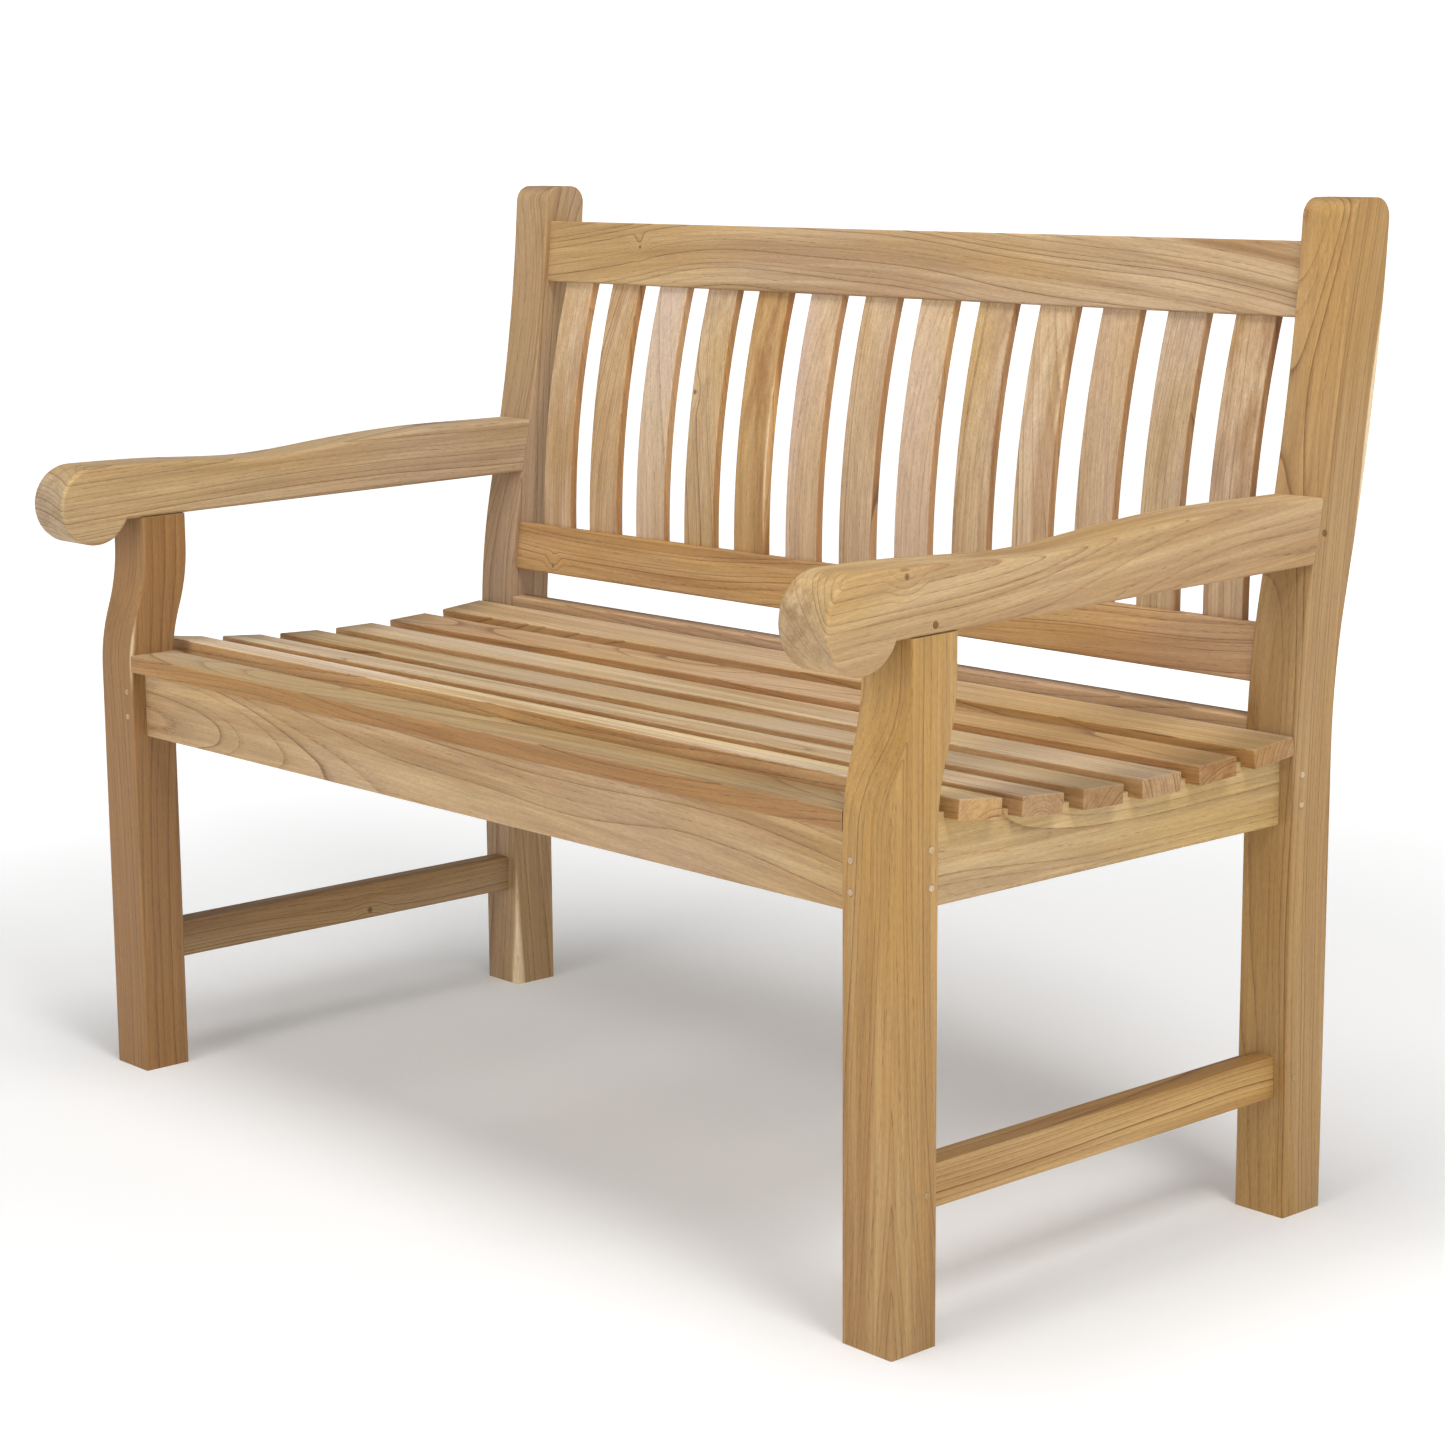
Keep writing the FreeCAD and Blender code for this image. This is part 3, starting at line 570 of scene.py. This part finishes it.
# %% Ends, sawn edges and arrises
ARRIS = 0.0016
BEVEL_LOOKS = 4
END_STARTS, END_FULL = 0.45, 0.95
SAWN_STARTS, SAWN_FULL = 0.95, 0.5
# Where the arrises are painted paler, as wear and as a highlight.
WEAR_AND_HIGHLIGHT_STARTS, WEAR_AND_HIGHLIGHT_FULL = 0.995, 0.85


def mark_faces(recipe, teak, grain_way, flat):
    """Tells the log about the faces of a board, and gives back the eased direction."""
    facing = recipe.add("NewGeometry").outputs["Normal"]
    endways = recipe.maths("ABSOLUTE", recipe.vectors("DOT_PRODUCT", facing, grain_way))
    recipe.put(teak.inputs["End face"], recipe.rescale(endways, END_STARTS, END_FULL, smooth=True))
    if flat:
        flatways = recipe.maths("ABSOLUTE", recipe.vectors("DOT_PRODUCT", facing, flat))
        sawn = recipe.rescale(flatways, SAWN_STARTS, SAWN_FULL, smooth=True)
        recipe.put(teak.inputs["Raw edge"], sawn)
    eased = recipe.add("Bevel", samples=BEVEL_LOOKS)
    eased.inputs["Radius"].default_value = ARRIS
    agreement = recipe.vectors("DOT_PRODUCT", eased.outputs[0], facing)
    # The arris mask: its paler colour is wear and a painted highlight.
    recipe.put(teak.inputs["Wear and highlight"], recipe.rescale(agreement, WEAR_AND_HIGHLIGHT_STARTS, WEAR_AND_HIGHLIGHT_FULL, smooth=True))
    return eased.outputs[0]


print("arrises are eased by", ARRIS * 1000, "mm")

# %% [markdown]
# ## The saw
#
# Now a board is one call. It gets a material of its own, in which the log group is told the facts
# about this board, and the material replaces the plain one that the CAD piece came with.
#
# The boards of one bench come from many trees, and before the sun has evened them out each has a
# tone of its own. It is given as three factors, for red, green and blue, on the heartwood and its
# lines. Below one is darker, and a low third number is warmer. The factors are matched to the real
# bench under these lamps, so they also make up for how much light a board gets: besides the tone of
# its wood, they hold painted light on some boards and painted shade on others.

# %% The saw
NO_SAPWOOD = 9.0
AS_GROWN = (1, 1, 1)
RELIEF_STRENGTH, RELIEF_METRES = 0.35, 0.0004
SHEEN = 0.35


def saw(name, grain, pith, lean=(0, 0, 0), bow=(0, 0, 0), log_number=1.0, ring=0.0045,
        strength=0.7, sap=NO_SAPWOOD, streaks=1.0, blush=0.4, flat=None, tone_and_painted_light=AS_GROWN):
    """Gives CAD node name a board of its own. pith, lean and bow are in the bench's directions:
    metres from the board's middle, metres a metre, and metres a metre squared."""
    board = bpy.data.materials.new("teak_" + name)
    board.use_nodes = True
    recipe = Recipe(board.node_tree)
    shader = board.node_tree.nodes["Principled BSDF"]

    low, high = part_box(name)
    turn = into_log_turn(grain, lean)
    in_bench = recipe.add("TexCoord").outputs["Object"]
    teak = recipe.add("Group", node_tree=log)
    facts = {
        "Place": into_log(recipe, in_bench, turn, (low + high) / 2 + Vector(pith), bow, log_number),
        "Log number": log_number, "Ring width": ring, "Ring strength": strength,
        # The tint holds painted light and painted shade as well as the board's tone.
        "Sapwood from": sap, "Tone and painted light": (*tone_and_painted_light, 1), "Streaks": streaks, "Blush": blush,
    }
    for fact, value in facts.items():
        recipe.put(teak.inputs[fact], value)
    if name in KNOTS:
        add_knot(recipe, teak, in_bench, *KNOTS[name], ring)
    eased = mark_faces(recipe, teak, turn.inverted() @ GRAIN["z"], flat)

    bump = recipe.add("Bump")
    bump.inputs["Strength"].default_value = RELIEF_STRENGTH
    bump.inputs["Distance"].default_value = RELIEF_METRES
    recipe.put(bump.inputs["Height"], teak.outputs["Height"])
    recipe.put(bump.inputs["Normal"], eased)
    recipe.put(shader.inputs["Base Color"], teak.outputs["Colour"])
    recipe.put(shader.inputs["Roughness"], teak.outputs["Roughness"])
    recipe.put(shader.inputs["Normal"], bump.outputs[0])
    shader.inputs["Specular IOR Level"].default_value = SHEEN
    nodes[name].data.materials.clear()
    nodes[name].data.materials.append(board)


print("the saw is set")

# %% [markdown]
# ## The rails
#
# Long rails are cut from the widest, straightest boards. The top rail comes from a stem that was
# bowed, so its lines rise from the left end to a low arch in the left third, and run nearly flat to
# the right. The front rail was sawn just outside the pith at its left end: it shows nested arches
# there, and long falling lines further on. The lower rail of the back is strongly marked.

# %% Long rails
# The three tint factors in each call hold painted light and painted shade as well as the tone.
saw("back_top_rail", "x", (0, 0.035, -0.09), lean=(0, 0, -0.03), bow=(0, 0, -0.13), log_number=5.1,
    ring=0.0060, strength=0.85, blush=0.3, tone_and_painted_light=(0.79, 0.86, 0.95))
saw("back_lower_rail", "x", (0, 0.03, -0.11), lean=(0, 0, 0.02), bow=(0, 0, 0.05), log_number=9.4,
    ring=0.0050, strength=1.0, streaks=1.2, tone_and_painted_light=(0.86, 0.86, 0.83))
saw("front_seat_rail", "x", (0, 0.05, -0.03), lean=(0, 0.03, -0.05), bow=(0, 0, -0.05),
    log_number=12.6, ring=0.0060, strength=0.75, streaks=0.8, blush=0.6,
    tone_and_painted_light=(0.81, 0.85, 0.85))
saw("back_seat_rail", "x", (0, 0.06, -0.05), log_number=4.4, blush=0.8, tone_and_painted_light=(0.82, 0.83, 0.85))
print("four long rails sawn")

# %% [markdown]
# ## The sides of the frame
#
# The side rails carry the seat slats, with a bearer like them in the middle, and a stretcher joins
# the legs at each end near the ground. The two ends of the bench are mirror images in shape. Their
# piths are mirrored too, but the boards come from different logs, so their lines differ.

# %% Side rails, bearer and stretchers
# The tint factors hold painted light and painted shade as well as each board's tone.
saw("centre_seat_bearer", "y", (0.05, 0, 0.04), log_number=6.6, tone_and_painted_light=(0.83, 0.83, 0.75))
sides = (("right", 1, (0.82, 0.90, 0.86), (0.80, 0.78, 0.61)),
         ("left", -1, (0.76, 0.78, 0.66), (0.56, 0.56, 0.53)))
for side, away, rail_tone_and_painted_light, stretcher_tone_and_painted_light in sides:
    saw("side_seat_rail_" + side, "y", (-0.07 * away, 0, 0.02), lean=(0.03 * away, 0, 0.01),
        log_number=12.3 + away, ring=0.0055, strength=0.6, streaks=0.8, tone_and_painted_light=rail_tone_and_painted_light)
    saw("stretcher_" + side, "y", (-0.02 * away, 0, 0.10), log_number=15.1 + 2 * away,
        strength=0.9, streaks=1.1, tone_and_painted_light=stretcher_tone_and_painted_light)
print("two side rails, a bearer and two stretchers sawn")

# %% [markdown]
# ## Legs and posts
#
# A leg is square, so two of its faces always show. With the pith out beyond one corner, both faces
# carry straight stripes, as a maker likes it. The back posts are sawn bent from a wide board: the
# grain runs on while the post turns away from it, and the lines run out into long arches. Both
# posts and the front left leg reach the pale sapwood along one side.

# %% Legs
# The tint factors hold painted light and painted shade as well as each leg's tone.
saw("front_leg_right", "z", (-0.10, 0.11, 0), lean=(0.012, -0.01, 0), log_number=21.0, ring=0.0048,
    strength=0.55, streaks=0.8, blush=0.1, tone_and_painted_light=(0.71, 0.68, 0.54))
saw("front_leg_left", "z", (-0.12, 0.07, 0), lean=(-0.01, 0.01, 0), log_number=23.7, strength=0.5,
    streaks=0.35, blush=0.6, sap=0.176, tone_and_painted_light=(0.49, 0.40, 0.27))
saw("back_leg_right", "z", (-0.03, -0.12, 0), lean=(0, 0.07, 0), bow=(0, 0.15, 0), log_number=41.3,
    ring=0.0060, strength=0.75, streaks=0.6, blush=0.2, sap=0.142, tone_and_painted_light=(0.65, 0.62, 0.51))
saw("back_leg_left", "z", (-0.07, 0.04, 0), lean=(0, 0.07, 0), bow=(0, 0.15, 0), log_number=52.9,
    ring=0.0055, strength=0.6, streaks=0.6, blush=0.6, sap=0.143, tone_and_painted_light=(0.65, 0.67, 0.69))
print("four legs sawn")

# %% [markdown]
# ## The arms
#
# Each arm is shaped from a thick plank. The pith of the right one lay below it and further in, so
# its round nose shows slanting curves, and the grain leans along the plank, which gives its broad
# side a wide, sloping figure. The pith of the left one lay almost straight below.

# %% Arms
# The tint factors hold painted light and painted shade as well as each arm's tone.
saw("arm_right", "y", (-0.09, 0, -0.06), lean=(0, 0, 0.10), log_number=68.2, ring=0.0050,
    strength=0.6, streaks=0.9, blush=0.3, tone_and_painted_light=(0.81, 0.85, 0.82))
saw("arm_left", "y", (-0.02, 0, -0.12), lean=(0, 0, 0.03), log_number=27.2, ring=0.0050,
    strength=1.0, streaks=0.6, blush=0.5, tone_and_painted_light=(0.79, 0.88, 0.98))
print("two arms sawn")

# %% [markdown]
# ## The seat
#
# Seat slats come from whatever is left, so their figure differs most. The pith lies at a different
# place below each one, further back or further forward. The sawn ends show it as the middle of
# their rings. The lean, the bow and the ring width change from slat to slat as well, by a formula,
# since nobody chose them.

# %% Seat slats
# The tint factors hold painted light and painted shade as well as each slat's tone.
seat_slats = {
    1: dict(pith=(0, 0.02, -0.09), tone_and_painted_light=(0.74, 0.81, 0.79)),
    2: dict(pith=(0, 0.03, -0.055), tone_and_painted_light=(1.16, 1.42, 1.72)),
    3: dict(pith=(0, -0.012, -0.022), tone_and_painted_light=(0.97, 1.15, 1.36)),
    4: dict(pith=(0, 0.05, -0.08), tone_and_painted_light=(0.83, 0.96, 1.11)),
    5: dict(pith=(0, -0.06, -0.03), tone_and_painted_light=(0.97, 1.15, 1.38)),
    6: dict(pith=(0, 0.02, -0.10), tone_and_painted_light=(0.84, 0.88, 0.93)),
    7: dict(pith=(0, 0.10, -0.03), tone_and_painted_light=(0.89, 0.98, 1.05)),
}
for number, board in seat_slats.items():
    sideways = 0.02 * math.sin(2.4 * number)
    bowed = 0.03 * math.cos(1.7 * number)
    saw(f"seat_slat_{number}", "x", lean=(0, sideways, 0.008), bow=(0, bowed, 0),
        log_number=37.0 + 2.3 * number, ring=0.0042 + 0.0006 * (number % 3), strength=0.75,
        streaks=0.9, blush=0.5, flat=(0, 0, 1), **board)
print(len(seat_slats), "seat slats sawn")

# %% [markdown]
# ## The back slats
#
# The thirteen slats of the back are bent out of thin boards. Some are striped, some are plain and
# rather pink, and the fifth is golden. Listed one by one, they are as mixed as in a real bench.

# %% Back slats
# The tint factors hold painted light and painted shade as well as each slat's tone.
back_slats = {
    1: dict(pith=(0.12, 0.02, 0), strength=0.8, streaks=0.9, blush=0.4, tone_and_painted_light=(0.94, 1.08, 1.45)),
    2: dict(pith=(-0.09, 0.05, 0), lean=(0.07, 0, 0), strength=1.0, streaks=0.8, blush=0.3,
            tone_and_painted_light=(0.87, 0.95, 1.20)),
    3: dict(pith=(0.11, 0.07, 0), strength=0.3, streaks=0.3, blush=0.9, ring=0.0065,
            tone_and_painted_light=(0.93, 1.07, 1.39)),
    4: dict(pith=(0.10, 0.04, 0), lean=(0.02, 0, 0), strength=0.85, streaks=0.8, blush=0.2,
            tone_and_painted_light=(0.88, 0.99, 1.17)),
    5: dict(pith=(-0.11, 0.02, 0), lean=(-0.01, 0, 0), strength=0.6, streaks=0.9, blush=0.0,
            sap=0.148, tone_and_painted_light=(0.76, 0.73, 0.61)),
    6: dict(pith=(-0.12, 0.05, 0), strength=0.35, streaks=0.4, blush=0.9, ring=0.006,
            tone_and_painted_light=(0.89, 0.97, 1.19)),
    7: dict(pith=(0.13, -0.02, 0), strength=0.8, streaks=0.7, blush=0.5, tone_and_painted_light=(0.86, 0.94, 1.06)),
    8: dict(pith=(0.10, -0.08, 0), strength=0.35, streaks=0.3, blush=1.0, ring=0.007,
            tone_and_painted_light=(0.90, 0.99, 1.07)),
    9: dict(pith=(-0.10, 0.03, 0), strength=0.6, streaks=0.8, blush=0.2, tone_and_painted_light=(0.85, 0.94, 1.11)),
    10: dict(pith=(0.04, 0.06, 0), lean=(0.0, 0.04, 0), strength=0.8, streaks=1.0, blush=0.5,
             tone_and_painted_light=(0.93, 1.07, 1.37)),
    11: dict(pith=(0.12, 0.05, 0), strength=0.6, streaks=0.7, blush=0.8, tone_and_painted_light=(0.80, 0.85, 0.86)),
    12: dict(pith=(-0.12, 0.02, 0), strength=0.8, streaks=0.7, blush=0.8, tone_and_painted_light=(0.77, 0.85, 0.95)),
    13: dict(pith=(0.10, 0.03, 0), lean=(0.015, 0, 0), strength=0.9, streaks=1.1, blush=0.4,
             tone_and_painted_light=(0.82, 0.90, 1.10)),
}
for number, board in back_slats.items():
    saw(f"back_slat_{number:02d}", "z", log_number=60.0 + 2.9 * number, flat=(0, 1, 0), **board)
print(len(back_slats), "back slats sawn")

# %% [markdown]
# ## Pegs and dowels
#
# A peg is a short teak dowel driven across a joint. Its end is what shows: a small disc of end
# grain, paler than the legs round it and darker than the arms. The dowels under the seat slats are
# hidden. All of them are turned from the same close-grained stem, each kind with a tint of its own,
# which holds painted light and painted shade as well as its tone.

# %% Pegs and dowels
# The tint factors hold painted light and painted shade as well as each peg's tone.
rods = {
    "front_rail_pegs": dict(grain="y", tone_and_painted_light=(0.95, 0.93, 1.06)),
    "side_rail_pegs": dict(grain="x", tone_and_painted_light=(1.11, 1.22, 1.39)),
    "stretcher_pegs": dict(grain="x", tone_and_painted_light=(0.84, 0.84, 0.75)),
    "back_rail_pegs": dict(grain="y", tone_and_painted_light=(0.94, 0.94, 0.96)),
    "arm_pegs": dict(grain="x", tone_and_painted_light=(0.39, 0.30, 0.15)),
    "seat_slat_dowels": dict(grain="z", tone_and_painted_light=AS_GROWN),
}
for name, rod in rods.items():
    saw(name, pith=(0.03, 0.04, 0.02), log_number=95.0, ring=0.003, strength=0.4, streaks=0.5,
        blush=0, **rod)
print(len(rods), "kinds of peg and dowel cut")
